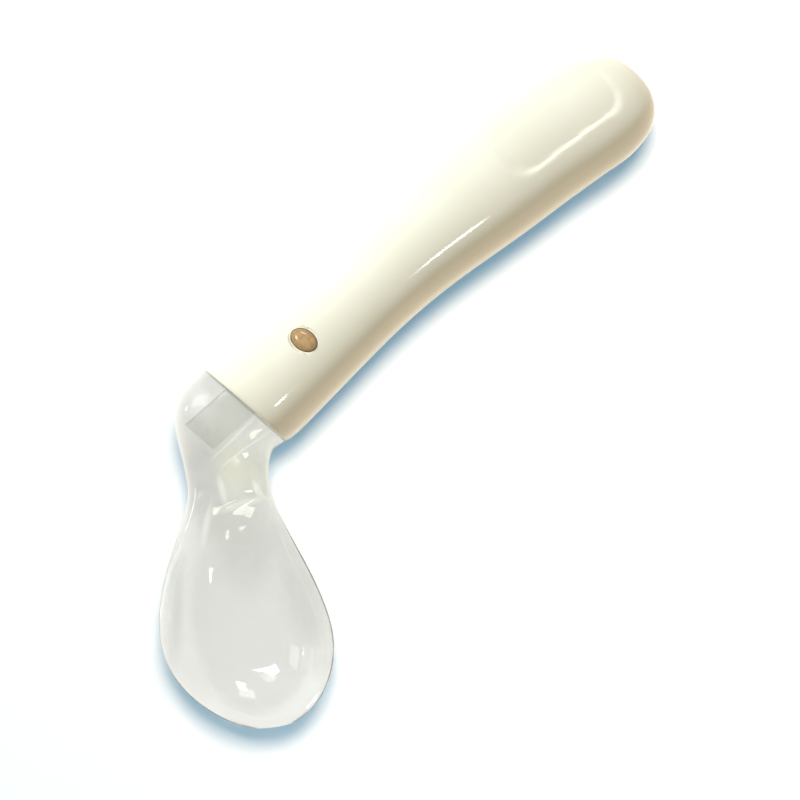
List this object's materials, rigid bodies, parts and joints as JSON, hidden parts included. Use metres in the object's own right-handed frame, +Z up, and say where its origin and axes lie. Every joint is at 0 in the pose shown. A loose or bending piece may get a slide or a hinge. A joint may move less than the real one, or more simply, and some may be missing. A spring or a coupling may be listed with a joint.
{
  "type": "baby spoon",
  "caption": "Self-feeding baby spoon: a thick hollow grip with an inset thumb pad, and a soft clear bowl set at an angle round a stiff core.",
  "frame": {"origin": "on the table, under the middle of the whole spoon", "axes": "+X along the handle from the seam to its far end, +Y to the side away from the bowl, +Z up out of the bowl"},
  "size_m": [0.1228, 0.0566, 0.0165],
  "materials": {
    "cream_plastic": "glossy cream, opaque",
    "clear_core": "clear, faintly grey",
    "clear_silicone": "clear, faintly frosted, glossy",
    "amber_plastic": "glossy amber brown"
  },
  "bodies": {
    "root": {"handle_upper_shell": "cream_plastic", "handle_lower_shell": "cream_plastic", "head_core": "clear_core", "bowl_head": "clear_silicone", "lock_stud": "amber_plastic"}
  },
  "joints": []
}
